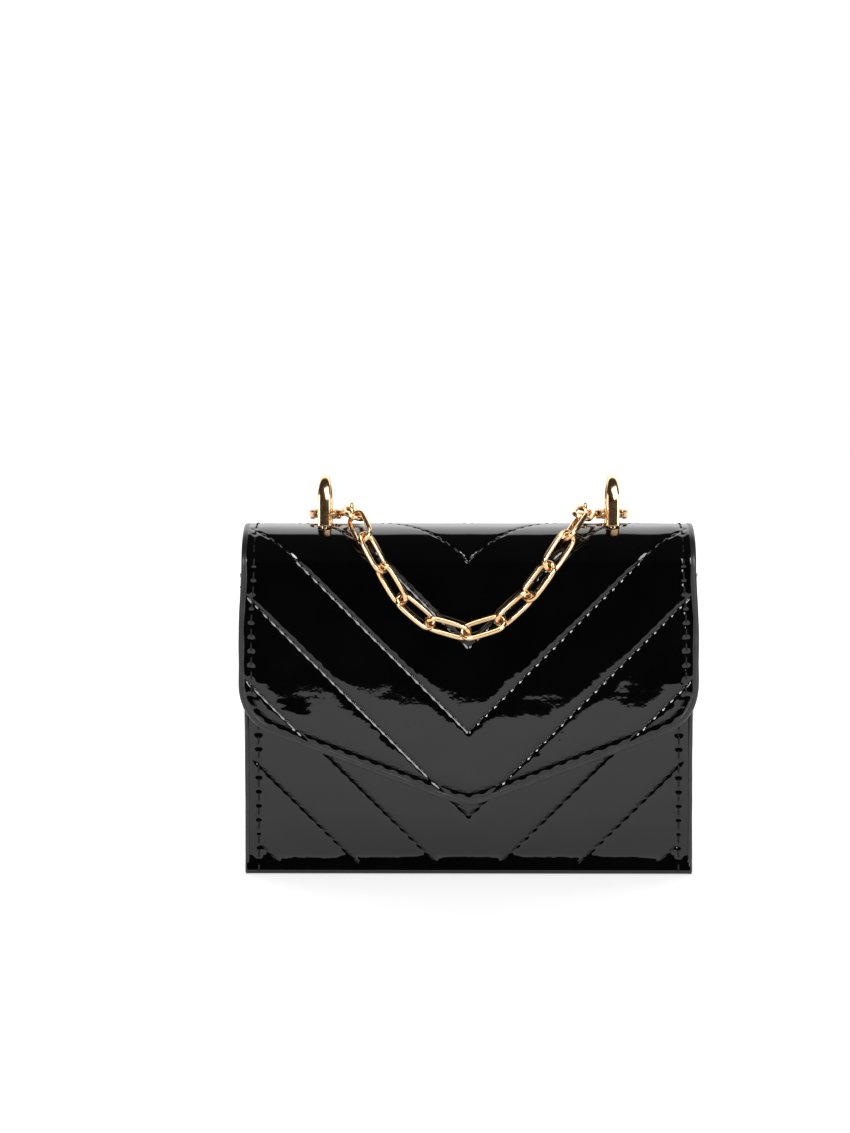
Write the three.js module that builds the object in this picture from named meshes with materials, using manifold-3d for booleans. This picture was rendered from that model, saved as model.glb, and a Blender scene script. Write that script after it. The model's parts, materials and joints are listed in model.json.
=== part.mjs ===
// A small structured flap bag in chevron-quilted patent leather, with a short gold chain handle.
// Millimetres, +Z up, the front faces -Y. The origin is the middle of the underside, on the ground.
//
// The tapered body is built up of a front, back and base panel, two gussets, stiffener boards and a
// lining. The flap is hinged at the top of the back panel, arches over the opening and is held at
// the front by a magnetic snap. Two metal arches stand on the flap; a swivel clasp is hooked on the
// rear leg of each, and the chain hangs between the two swivels.

import * as THREE from "three";
import { mergeVertices } from "three/addons/utils/BufferGeometryUtils.js";
import Module from "manifold-3d";

// ---- Driving dimensions -------------------------------------------------------------------------

const GAP = 0.3; // air left between two pieces that lie against each other

// Body
const PANEL_HALF = 58.5; // half the width of the front and back panels
const FRONT_Y = -24; // outer face of the front panel
const BACK_Y = 24; // outer face of the back panel, at the ground
const BASE_ROUND = 2.6; // radius where the panels turn under the base
const MOUTH_Z = 79; // top edge of the front panel
const GUSSET_TOP = 78;
const GUSSET_BULGE = 3.2; // how far the gussets swell outwards near the top
const LEATHER = 0.9;
const BOARD = 0.8;
const CLOTH = 0.5;

// Flap, as seen from the side: an elliptical arch from the fold to the crest and down to the face
const FOLD = { y: 12, z: 80 }; // the line that the flap turns on
const CREST = { y: -13.1, z: 92 };
const FACE_Y = -29.4; // outer face of the hanging part
const SHOULDER_Z = 81.7; // where the arch ends and the hanging part begins
const FLAP_TOP_HALF = 59.2; // half width over the arch
const FLAP_WIDE_HALF = 60; // half width of the hanging part
const FLAP_CORNER_Z = 41.6; // where the straight side would meet the slanting lower edge
const FLAP_TIP_Z = 18.3;
const FLAP_DEPTHS = { leather: [0, 0.8], board: [1.05, 1.65], lining: [1.9, 2.4] };

// Snap
const SNAP_Z = 29.5;
const SNAP_R = 7;
const SNAP_HOLE_R = 3.4;

// Arches
const ARCH_X = 38;
const ARCH_TOP_Z = 105;
const ARCH_WIDE = 3.5; // width of the band at its legs
const ARCH_NARROW = 2.2; // width of the band at its top
const ARCH_THICK = 2;
const ARCH_SPREAD = 12; // from the middle of one leg to the middle of the other
const POST_R = 0.9;
const POST_HOLE_R = 1.3;
const PLATE_Z = 86.2; // underside of the plate inside the flap

// Clasps: flat hooks that lie level, with a swivel pointing to the middle of the bag
const CLASP_THICK = 2.4;
const CLASP_Z = 94.3;
const CLASP_HOLE = { inner: -3, outer: 3, half: 2.6 }; // the hook's opening, from the leg's middle
const CLASP_Y = CREST.y + ARCH_SPREAD / 2 + ARCH_THICK / 2 + GAP - CLASP_HOLE.half;
const TRIGGER_PIVOT = { x: -2.2, y: -3.3 };
const SWIVEL_RING_X = 31; // middle of the swivel's ring
const SWIVEL_RING_R = 1.9;
const SWIVEL_WIRE_R = 0.55;

// Chain
const LINKS = 12;
const LINK_WIDTH = 5.7;
const LINK_WIRE_R = 0.65;
const LINK_ROLL = THREE.MathUtils.degToRad(44); // each link is turned this far, to alternate sides
const END_ROLL = THREE.MathUtils.degToRad(20); // the first and last links lie flatter
const JUMP_RING_R = 2.2;
const JUMP_WIRE_R = 0.5;
// The chain's route over the flap, from the left jump ring to the right one
const CHAIN_ROUTE = [
  [-31, -12.7, 95.5],
  [-29.9, -22.4, 94.1],
  [-26.8, -30.2, 88.9],
  [-22.3, -32.5, 81],
  [-17.4, -31.9, 73],
  [-10.2, -31.9, 67],
  [-1.4, -31.9, 64.3],
  [7.4, -31.9, 66.7],
  [14.6, -31.9, 73],
  [20.2, -32.5, 80.6],
  [25.2, -30.6, 88.3],
  [29.5, -22.8, 94],
  [31, -12.7, 95.5],
];

// ---- Materials ----------------------------------------------------------------------------------

const finish = (color, roughness, metalness) =>
  new THREE.MeshStandardMaterial({ color, roughness, metalness });

const patent = finish(0x0b0a0b, 0.12, 0);
const lining = finish(0x1c1a1b, 0.9, 0);
const board = finish(0x8d8579, 0.95, 0);
const gold = finish(0xd9ac6c, 0.2, 1);
const steel = finish(0x8f9092, 0.35, 1);
const magnetic = finish(0x2b2b2d, 0.6, 0.4);

// ---- Solids -------------------------------------------------------------------------------------

const wasm = await Module();
wasm.setup();

/** The manifold solid of a closed geometry. */
function solid(geometry) {
  const bare = new THREE.BufferGeometry();
  bare.setAttribute("position", geometry.getAttribute("position"));
  bare.setIndex(geometry.index);
  const merged = mergeVertices(bare, 1e-4);
  return new wasm.Manifold(
    new wasm.Mesh({
      numProp: 3,
      vertProperties: merged.getAttribute("position").array,
      triVerts: new Uint32Array(merged.index.array),
    }),
  );
}

/** The geometry of a manifold solid. */
function geometryOf(shape) {
  const { vertProperties, triVerts } = shape.getMesh();
  const geometry = new THREE.BufferGeometry();
  geometry.setAttribute("position", new THREE.BufferAttribute(vertProperties, 3));
  geometry.setIndex(new THREE.BufferAttribute(triVerts, 1));
  geometry.computeVertexNormals();
  return geometry;
}

const X = new THREE.Vector3(1, 0, 0);
const Y = new THREE.Vector3(0, 1, 0);
const Z = new THREE.Vector3(0, 0, 1);
const FLAT = { bevelEnabled: false, curveSegments: 6 };

/** A YZ outline given depth across X, about the middle plane. */
function acrossX(shape, width) {
  return new THREE.ExtrudeGeometry(shape, { ...FLAT, depth: width })
    .applyMatrix4(new THREE.Matrix4().makeBasis(Y, Z, X))
    .translate(-width / 2, 0, 0);
}

/** An XZ outline given depth from y = back towards the front. */
function towardsFront(shape, back, depth) {
  return new THREE.ExtrudeGeometry(shape, { ...FLAT, depth })
    .applyMatrix4(new THREE.Matrix4().makeBasis(X, Z, Y.clone().negate()))
    .translate(0, back, 0);
}

/** An XY outline given height about z = 0. */
function upright(shape, height) {
  return new THREE.ExtrudeGeometry(shape, { ...FLAT, depth: height }).translate(0, 0, -height / 2);
}

function polygon(points) {
  return new THREE.Shape(points.map(([a, b]) => new THREE.Vector2(a, b)));
}

function block(x0, x1, y0, y1, z0, z1) {
  const box = new THREE.BoxGeometry(x1 - x0, y1 - y0, z1 - z0);
  return solid(box.translate((x0 + x1) / 2, (y0 + y1) / 2, (z0 + z1) / 2));
}

/** A rod between two points, 16-sided. */
function rod(radius, from, to) {
  const way = to.clone().sub(from);
  const turn = new THREE.Quaternion().setFromUnitVectors(Y, way.clone().normalize());
  const middle = from.clone().add(to).multiplyScalar(0.5);
  const cylinder = new THREE.CylinderGeometry(radius, radius, way.length(), 16);
  return solid(cylinder.applyQuaternion(turn).translate(middle.x, middle.y, middle.z));
}

/** A vertical rod. */
function post(radius, x, y, z0, z1) {
  return rod(radius, new THREE.Vector3(x, y, z0), new THREE.Vector3(x, y, z1));
}

/** A round piece turned about a line along Y through the snap, from [radius, y] corners. */
function turned(corners) {
  const profile = [...corners, corners[0]].map(([r, y]) => new THREE.Vector2(r, y));
  return new THREE.LatheGeometry(profile, 28).translate(0, 0, SNAP_Z);
}

/** A box grid bent by place(u, v, w), each from 0 to 1; w is the thickness. */
function bentSheet(columns, rows, place) {
  const grid = new THREE.BoxGeometry(1, 1, 1, columns, rows, 1);
  const at = grid.getAttribute("position");
  for (let i = 0; i < at.count; i++)
    at.setXYZ(i, ...place(at.getX(i) + 0.5, at.getY(i) + 0.5, at.getZ(i) + 0.5));
  return grid;
}

/** A wire loop in XY with straight sides along X. */
function wireLoop(length, width, wire, steps) {
  const bend = width / 2 - wire;
  const stretch = length / 2 - width / 2;
  const loop = new THREE.TorusGeometry(bend, wire, 8, steps).rotateZ(Math.PI / steps);
  const at = loop.getAttribute("position");
  for (let i = 0; i < at.count; i++) at.setX(i, at.getX(i) + Math.sign(at.getX(i)) * stretch);
  return loop;
}

const group = new THREE.Group();

function add(name, geometry, material) {
  const mesh = new THREE.Mesh(geometry, material);
  mesh.name = name;
  group.add(mesh);
  return mesh;
}

const SIDES = [
  ["left", -1],
  ["right", 1],
];

// ---- Body ---------------------------------------------------------------------------------------

/** How far back the back panel's outer face is at a height, less a depth into the bag. */
function backY(z, depth = 0) {
  return THREE.MathUtils.lerp(BACK_Y, FOLD.y, z / FOLD.z) - depth;
}

/** A panel seen from the side: straight down, then round under the base. */
function panelShape(top, bottom, middle, inner, turn) {
  const shape = new THREE.Shape();
  shape.moveTo(...top);
  shape.lineTo(...bottom);
  for (let i = 1; i <= 5; i++) {
    const a = (i / 5) * (Math.PI / 2);
    shape.lineTo(middle[0] + turn * BASE_ROUND * Math.cos(a), middle[1] - BASE_ROUND * Math.sin(a));
  }
  for (let i = 5; i >= 1; i--) {
    const a = (i / 5) * (Math.PI / 2);
    const r = BASE_ROUND - LEATHER;
    shape.lineTo(middle[0] + turn * r * Math.cos(a), middle[1] - r * Math.sin(a));
  }
  shape.lineTo(bottom[0] - turn * LEATHER, bottom[1]);
  shape.lineTo(...inner);
  return shape;
}

const backTop = FOLD.z - GAP;
const frontShape = panelShape(
  [FRONT_Y, MOUTH_Z],
  [FRONT_Y, BASE_ROUND],
  [FRONT_Y + BASE_ROUND, BASE_ROUND],
  [FRONT_Y + LEATHER, MOUTH_Z],
  -1,
);
const backShape = panelShape(
  [backY(backTop), backTop],
  [backY(BASE_ROUND), BASE_ROUND],
  [backY(BASE_ROUND) - BASE_ROUND, BASE_ROUND],
  [backY(backTop, LEATHER), backTop],
  1,
);
const snapHole = rod(
  SNAP_HOLE_R + 3 * GAP,
  new THREE.Vector3(0, FRONT_Y - 5, SNAP_Z),
  new THREE.Vector3(0, FRONT_Y + 5, SNAP_Z),
);

const frontPanel = solid(acrossX(frontShape, 2 * PANEL_HALF)).subtract(snapHole);
add("front_panel", geometryOf(frontPanel), patent);
add("back_panel", acrossX(backShape, 2 * PANEL_HALF), patent);

const baseFront = FRONT_Y + BASE_ROUND + GAP;
const baseBack = backY(BASE_ROUND) - BASE_ROUND - GAP;
const basePanel = block(-PANEL_HALF, PANEL_HALF, baseFront, baseBack, 0, LEATHER);
add("base_panel", geometryOf(basePanel), patent);

// The gussets stand between the panels and swell outwards, most of all near their open top.
const GUSSET_X = PANEL_HALF - 0.2;
for (const [side, sign] of SIDES) {
  const gusset = bentSheet(8, 8, (u, v, w) => {
    const z = THREE.MathUtils.lerp(BASE_ROUND + GAP, GUSSET_TOP, v);
    const y = THREE.MathUtils.lerp(FRONT_Y + LEATHER + GAP, backY(z, LEATHER + GAP), u);
    const swell = GUSSET_BULGE * THREE.MathUtils.smoothstep(v, -0.2, 0.7) * Math.sin(Math.PI * u);
    return [sign * (GUSSET_X + swell) - (sign > 0 ? 1 - w : -w) * LEATHER, y, z];
  });
  add("gusset_" + side, gusset, patent);
}

// Stiffener boards, between the leather and the lining
const BOARD_HALF = PANEL_HALF - 2.2;
const BOARD_BOTTOM = 3.2;
const BOARD_TOP = MOUTH_Z - 1.5;
const layer = LEATHER + GAP;
const frontBoard = block(
  -BOARD_HALF,
  BOARD_HALF,
  FRONT_Y + layer,
  FRONT_Y + layer + BOARD,
  BOARD_BOTTOM,
  BOARD_TOP,
);
add("front_board", geometryOf(frontBoard.subtract(snapHole)), board);
const backBoard = polygon([
  [backY(BOARD_BOTTOM, layer + BOARD), BOARD_BOTTOM],
  [backY(BOARD_BOTTOM, layer), BOARD_BOTTOM],
  [backY(BOARD_TOP, layer), BOARD_TOP],
  [backY(BOARD_TOP, layer + BOARD), BOARD_TOP],
]);
add("back_board", acrossX(backBoard, 2 * BOARD_HALF), board);
const baseBoard = block(-BOARD_HALF, BOARD_HALF, baseFront + 1, baseBack - 1, layer, layer + BOARD);
add("base_board", geometryOf(baseBoard), board);

// The lining is an open-topped pocket that follows the panels.
const WASHER = 0.4;
const LINING_DEPTH = layer + BOARD + GAP + WASHER + GAP;
const LINING_TOP = GUSSET_TOP - 1;

/** The pocket's cross-section from the side, a given depth in from the panels. */
function pocketShape(depth, floor, top) {
  return polygon([
    [FRONT_Y + depth, floor],
    [backY(floor, depth), floor],
    [backY(top, depth), top],
    [FRONT_Y + depth, top],
  ]);
}

const POCKET_HALF = GUSSET_X - LEATHER - GAP;
const LINING_FLOOR = layer + BOARD + GAP;
const pocket = acrossX(pocketShape(LINING_DEPTH, LINING_FLOOR, LINING_TOP), 2 * POCKET_HALF);
const hollow = acrossX(
  pocketShape(LINING_DEPTH + CLOTH, LINING_FLOOR + CLOTH, LINING_TOP + 10),
  2 * (POCKET_HALF - CLOTH),
);
add("body_lining", geometryOf(solid(pocket).subtract(solid(hollow))), lining);

// ---- Flap ---------------------------------------------------------------------------------------

/** Points down the middle of the flap, a given depth inside its outer face, as [y, z]. */
function flapLine(depth, bottom) {
  const points = [];
  const quarter = (a, b, baseZ, from, steps, first) => {
    for (let i = first; i <= steps; i++) {
      const t = from + (i / steps) * (Math.PI / 2);
      const normal = new THREE.Vector2(Math.cos(t) / a, Math.sin(t) / b).normalize();
      points.push([
        CREST.y + a * Math.cos(t) - depth * normal.x,
        baseZ + b * Math.sin(t) - depth * normal.y,
      ]);
    }
  };
  quarter(FOLD.y - CREST.y, CREST.z - FOLD.z, FOLD.z, 0, 10, 0);
  quarter(CREST.y - FACE_Y, CREST.z - SHOULDER_Z, SHOULDER_Z, Math.PI / 2, 9, 1);
  points.push([FACE_Y + depth, bottom]);
  return points;
}

/** One layer of the flap as a curved band, from its depths below the outer face. */
function flapBand([outer, inner], halfWidth) {
  const shape = polygon([...flapLine(outer, 5), ...flapLine(inner, 5).reverse()]);
  return solid(acrossX(shape, 2 * halfWidth));
}

/** The flap's outline from the front, drawn in by an inset, as a prism through the whole bag. */
function flapOutline(inset) {
  const top = FLAP_TOP_HALF - inset;
  const wide = FLAP_WIDE_HALF - inset;
  const corner = FLAP_CORNER_Z + inset;
  const tip = FLAP_TIP_Z + inset;
  const slope = (corner - tip) / wide;
  const shape = new THREE.Shape();
  shape.moveTo(-top, 120);
  shape.lineTo(-top, 84);
  shape.quadraticCurveTo(-wide, 68, -wide, corner + 9);
  shape.quadraticCurveTo(-wide, corner, 8.5 - wide, corner - 8.5 * slope);
  shape.lineTo(-3.2, tip + 3.2 * slope);
  shape.quadraticCurveTo(0, tip - 0.6, 3.2, tip + 3.2 * slope);
  shape.lineTo(wide - 8.5, corner - 8.5 * slope);
  shape.quadraticCurveTo(wide, corner, wide, corner + 9);
  shape.quadraticCurveTo(wide, 68, top, 84);
  shape.lineTo(top, 120);
  return solid(towardsFront(shape, 60, 120));
}

const LEG_YS = [
  ["front", CREST.y - ARCH_SPREAD / 2],
  ["rear", CREST.y + ARCH_SPREAD / 2],
];
const postHoles = SIDES.flatMap(([, sign]) =>
  LEG_YS.map(([, y]) => post(POST_HOLE_R, sign * ARCH_X, y, 70, 110)),
);
const drill = (shape) => postHoles.reduce((whole, hole) => whole.subtract(hole), shape);

const flapLeather = flapBand(FLAP_DEPTHS.leather, 70).intersect(flapOutline(0));
add("flap_leather", geometryOf(drill(flapLeather)), patent);
const flapCloth = flapBand(FLAP_DEPTHS.lining, 70).intersect(flapOutline(0.6));
add("flap_lining", geometryOf(drill(flapCloth)), lining);

const BOARD_INSET = 4;
const flapBoard = flapBand(FLAP_DEPTHS.board, 70).intersect(flapOutline(BOARD_INSET));
const topBoard = flapBoard.intersect(block(-70, 70, -60, FOLD.y - 4, SHOULDER_Z + 1.5, 120));
add("flap_top_board", geometryOf(drill(topBoard)), board);
const studPlateHole = rod(
  SNAP_R + GAP,
  new THREE.Vector3(0, -60, SNAP_Z),
  new THREE.Vector3(0, 0, SNAP_Z),
);
const faceBoard = flapBoard.intersect(block(-70, 70, -60, FACE_Y + 5, 0, SHOULDER_Z));
add("flap_face_board", geometryOf(faceBoard.subtract(studPlateHole)), board);

// ---- Magnetic snap ------------------------------------------------------------------------------

const CAP = 0.35; // thickness of the pressed metal
const CUP = 1.7; // height of the socket's cup above the front panel
const cupFront = FRONT_Y - GAP - CUP;
const cupBack = FRONT_Y - GAP;
const boardBack = FRONT_Y + layer + BOARD;
const TUBE_R = SNAP_HOLE_R + CAP;
add(
  "snap_socket",
  turned([
    [SNAP_HOLE_R, cupFront],
    [SNAP_R, cupFront],
    [SNAP_R, cupBack],
    [SNAP_R - CAP, cupBack],
    [SNAP_R - CAP, cupFront + CAP],
    [TUBE_R, cupFront + CAP],
    [TUBE_R, boardBack + GAP + WASHER],
    [SNAP_HOLE_R, boardBack + GAP + WASHER],
  ]),
  gold,
);
add(
  "snap_magnet",
  turned([
    [TUBE_R + GAP, cupFront + CAP + GAP],
    [SNAP_R - CAP - GAP, cupFront + CAP + GAP],
    [SNAP_R - CAP - GAP, cupBack],
    [TUBE_R + GAP, cupBack],
  ]),
  magnetic,
);
add(
  "snap_socket_washer",
  turned([
    [TUBE_R + GAP, boardBack + GAP],
    [SNAP_R, boardBack + GAP],
    [SNAP_R, boardBack + GAP + WASHER],
    [TUBE_R + GAP, boardBack + GAP + WASHER],
  ]),
  steel,
);

const studBack = FACE_Y + FLAP_DEPTHS.lining[1] + GAP; // the face that lies on the flap's lining
const studFront = cupFront - GAP;
const NUB = { root: 2.2, end: 1.6, length: 1.5 };
const RIVET_R = 1.6;
const plateY = FACE_Y + FLAP_DEPTHS.board[0];
const stud = turned([
  [0, plateY],
  [RIVET_R, plateY],
  [RIVET_R, studBack],
  [SNAP_R - 0.5, studBack],
  [SNAP_R - 0.5, studFront],
  [NUB.root, studFront],
  [NUB.end, studFront + NUB.length],
  [0, studFront + NUB.length],
]);
const rivetHole = rod(
  RIVET_R + GAP,
  new THREE.Vector3(0, -60, SNAP_Z),
  new THREE.Vector3(0, studBack, SNAP_Z),
);
add("snap_stud", stud, gold);
add(
  "snap_stud_plate",
  turned([
    [RIVET_R + GAP, plateY],
    [SNAP_R - GAP, plateY],
    [SNAP_R - GAP, FACE_Y + FLAP_DEPTHS.board[1]],
    [RIVET_R + GAP, FACE_Y + FLAP_DEPTHS.board[1]],
  ]),
  steel,
);
const flapLining = group.getObjectByName("flap_lining");
flapLining.geometry = geometryOf(solid(flapLining.geometry).subtract(rivetHole));

// ---- Arches -------------------------------------------------------------------------------------

/** The arch's band from the side: two legs under a half circle. */
function archBand() {
  const outer = ARCH_SPREAD / 2 + ARCH_THICK / 2;
  const inner = ARCH_SPREAD / 2 - ARCH_THICK / 2;
  const centreZ = ARCH_TOP_Z - outer;
  const shape = new THREE.Shape();
  shape.moveTo(CREST.y + outer, 80);
  shape.lineTo(CREST.y + outer, centreZ);
  shape.absarc(CREST.y, centreZ, outer, 0, Math.PI, false);
  shape.lineTo(CREST.y - outer, 80);
  shape.lineTo(CREST.y - inner, 80);
  shape.lineTo(CREST.y - inner, centreZ);
  shape.absarc(CREST.y, centreZ, inner, Math.PI, 0, true);
  shape.lineTo(CREST.y + inner, 80);
  const extruded = new THREE.ExtrudeGeometry(shape, {
    bevelEnabled: false,
    curveSegments: 14,
    depth: ARCH_WIDE,
  });
  return solid(
    extruded
      .applyMatrix4(new THREE.Matrix4().makeBasis(Y, Z, X))
      .translate(-ARCH_WIDE / 2, 0, 0),
  );
}

/** The arch's outline from the front: parallel legs that narrow to a rounded top. */
function archTaper() {
  const shape = new THREE.Shape();
  shape.moveTo(-ARCH_WIDE / 2, 70);
  shape.lineTo(ARCH_WIDE / 2, 70);
  shape.lineTo(ARCH_WIDE / 2, ARCH_TOP_Z - 8);
  shape.lineTo(ARCH_NARROW / 2, ARCH_TOP_Z - 0.8);
  shape.quadraticCurveTo(ARCH_NARROW / 2, ARCH_TOP_Z, 0, ARCH_TOP_Z);
  shape.quadraticCurveTo(-ARCH_NARROW / 2, ARCH_TOP_Z, -ARCH_NARROW / 2, ARCH_TOP_Z - 0.8);
  shape.lineTo(-ARCH_WIDE / 2, ARCH_TOP_Z - 8);
  return solid(towardsFront(shape, 20, 60));
}

// Everything under the flap's outer face and the gap above it
const underFlap = solid(
  acrossX(polygon([...flapLine(-GAP, 60), [FOLD.y + GAP, 60]]), 2 * FLAP_WIDE_HALF),
);
const PLATE_THICK = 1;
const NUT_THICK = 1;
const postEnd = PLATE_Z - GAP - NUT_THICK - 0.2;

for (const [side, sign] of SIDES) {
  const x = sign * ARCH_X;
  const place = new THREE.Vector3(x, 0, 0);
  let arch = archBand().intersect(archTaper()).translate(place.toArray()).subtract(underFlap);
  let plate = block(x - 2.6, x + 2.6, CREST.y - 9, CREST.y + 9, PLATE_Z, PLATE_Z + PLATE_THICK);
  for (const [where, y] of LEG_YS) {
    arch = arch.add(post(POST_R, x, y, postEnd, CREST.z + 2));
    plate = plate.subtract(post(POST_HOLE_R, x, y, 80, 90));
    const nut = post(2.2, x, y, PLATE_Z - GAP - NUT_THICK, PLATE_Z - GAP);
    const threaded = nut.subtract(post(POST_R + GAP, x, y, 80, 90));
    add("arch_nut_" + side + "_" + where, geometryOf(threaded), steel);
  }
  add("arch_" + side, geometryOf(arch), gold);
  add("arch_plate_" + side, geometryOf(plate), steel);
}

// ---- Clasps -------------------------------------------------------------------------------------
// Drawn for the right side about the middle of the arch's rear leg, x outwards, and turned half
// round about Y for the left.

const HOOK = { nose: 4.6, half: 4, neck: -4.4, neckHalf: 1.5 };
const GATE = { from: -0.6, to: 2.7 };
const SLOT = 1.3;
const SWIVEL_HEAD = { from: -2.7, to: -2.2 };

function hookOutline() {
  const shape = new THREE.Shape();
  shape.moveTo(HOOK.neck, -HOOK.neckHalf);
  shape.quadraticCurveTo(-3.6, -HOOK.half, -1.6, -HOOK.half);
  shape.lineTo(1.4, -HOOK.half);
  shape.quadraticCurveTo(HOOK.nose, -HOOK.half, HOOK.nose, 0);
  shape.quadraticCurveTo(HOOK.nose, HOOK.half, 1.4, HOOK.half);
  shape.lineTo(-1.6, HOOK.half);
  shape.quadraticCurveTo(-3.6, HOOK.half, HOOK.neck, HOOK.neckHalf);
  const { inner, outer, half } = CLASP_HOLE;
  const hole = new THREE.Path();
  hole.moveTo(inner, -half + 1);
  hole.lineTo(inner, half - 1);
  hole.quadraticCurveTo(inner, half, inner + 1, half);
  hole.lineTo(outer - 1, half);
  hole.quadraticCurveTo(outer, half, outer, half - 1);
  hole.lineTo(outer, -half + 1);
  hole.quadraticCurveTo(outer, -half, outer - 1, -half);
  hole.lineTo(inner + 1, -half);
  hole.quadraticCurveTo(inner, -half, inner, -half + 1);
  shape.holes.push(hole);
  return shape;
}

function claspHook() {
  const pivot = TRIGGER_PIVOT;
  return solid(upright(hookOutline(), CLASP_THICK))
    .subtract(block(GATE.from, GATE.to, -HOOK.half - 1, -CLASP_HOLE.half + 0.3, -2, 2))
    .subtract(block(-3.6, GATE.to, -HOOK.half - 1, -2, -SLOT / 2, SLOT / 2))
    .subtract(post(0.7, pivot.x, pivot.y, -2, 2))
    .subtract(rod(0.9, new THREE.Vector3(-6, 0, 0), new THREE.Vector3(0, 0, 0)));
}

function claspTrigger() {
  const { x, y } = TRIGGER_PIVOT;
  const shape = new THREE.Shape();
  shape.moveTo(x, y + 0.8);
  shape.absarc(x, y, 0.8, Math.PI / 2, (3 * Math.PI) / 2, false);
  shape.lineTo(x + 1, y - 0.8);
  shape.lineTo(x + 0.8, y - 2.3);
  shape.lineTo(x + 2, y - 2.3);
  shape.lineTo(x + 2.4, y - 0.6);
  shape.lineTo(GATE.to - GAP, y - 0.4);
  shape.lineTo(GATE.to - GAP, y + 0.6);
  const thick = SLOT - 2 * 0.2;
  return solid(upright(shape, thick)).subtract(post(0.6, x, y, -2, 2));
}

function claspSwivel() {
  const ringX = SWIVEL_RING_X - ARCH_X;
  const across = 2 * (SWIVEL_RING_R + SWIVEL_WIRE_R);
  const ring = solid(wireLoop(across, across, SWIVEL_WIRE_R, 16).translate(ringX, 0, 0));
  const stemFrom = new THREE.Vector3(ringX + SWIVEL_RING_R, 0, 0);
  const head = new THREE.Vector3(SWIVEL_HEAD.from, 0, 0);
  return ring
    .add(rod(0.6, stemFrom, new THREE.Vector3(SWIVEL_HEAD.from + 0.1, 0, 0)))
    .add(rod(1.2, head, new THREE.Vector3(SWIVEL_HEAD.to, 0, 0)));
}

const claspPin = post(0.4, TRIGGER_PIVOT.x, TRIGGER_PIVOT.y, -CLASP_THICK / 2, CLASP_THICK / 2);
for (const [side, sign] of SIDES) {
  const clasp = new THREE.Group();
  clasp.position.set(sign * ARCH_X, CLASP_Y, CLASP_Z);
  clasp.rotation.y = sign > 0 ? 0 : Math.PI;
  group.add(clasp);
  clasp.add(add("clasp_hook_" + side, geometryOf(claspHook()), gold));
  clasp.add(add("clasp_trigger_" + side, geometryOf(claspTrigger()), gold));
  clasp.add(add("clasp_pin_" + side, geometryOf(claspPin), gold));
  clasp.add(add("clasp_swivel_" + side, geometryOf(claspSwivel()), gold));
}

// ---- Chain --------------------------------------------------------------------------------------

/** The direction straight out of the flap near a point of the chain. */
function outOfFlap(point) {
  if (point.z < SHOULDER_Z) return Y.clone().negate();
  const a = CREST.y - FACE_Y;
  const b = CREST.z - SHOULDER_Z;
  const slope = (point.y - CREST.y) / (a * a);
  return new THREE.Vector3(0, slope, (point.z - SHOULDER_Z) / (b * b)).normalize();
}

/** Lays a loop drawn in XY along a line from one point to the next, rolled about that line. */
function layLoop(mesh, from, to, roll) {
  const along = to.clone().sub(from).normalize();
  const middle = from.clone().add(to).multiplyScalar(0.5);
  const out = outOfFlap(middle);
  const flat = new THREE.Vector3().crossVectors(out, along).normalize();
  const wide = flat.applyAxisAngle(along, roll);
  const normal = new THREE.Vector3().crossVectors(along, wide);
  mesh.position.copy(middle);
  mesh.quaternion.setFromRotationMatrix(new THREE.Matrix4().makeBasis(along, wide, normal));
}

const route = new THREE.CatmullRomCurve3(CHAIN_ROUTE.map((p) => new THREE.Vector3(...p)));
const joints = route.getSpacedPoints(LINKS);
const pitch = route.getLength() / LINKS;
const linkLength = pitch + 4 * LINK_WIRE_R + 1.8 * GAP;
for (let i = 0; i < LINKS; i++) {
  const link = wireLoop(linkLength, LINK_WIDTH, LINK_WIRE_R, 14);
  const name = "link_" + String(i + 1).padStart(2, "0");
  const roll = i === 0 || i === LINKS - 1 ? END_ROLL : LINK_ROLL;
  layLoop(add(name, link, gold), joints[i], joints[i + 1], i % 2 ? roll : -roll);
}

const ringAcross = 2 * (JUMP_RING_R + JUMP_WIRE_R);
for (const [side, sign] of SIDES) {
  const last = sign < 0 ? joints[0] : joints[LINKS];
  const hold = new THREE.Vector3(sign * SWIVEL_RING_X, CLASP_Y - 0.9, CLASP_Z + 0.4);
  const ring = wireLoop(ringAcross, ringAcross, JUMP_WIRE_R, 14);
  layLoop(add("jump_ring_" + side, ring, gold), hold, last, Math.PI / 2);
}

export default group;
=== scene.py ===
import json
import math

import bmesh
import bpy
import numpy as np
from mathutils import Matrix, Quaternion, Vector, noise


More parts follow.
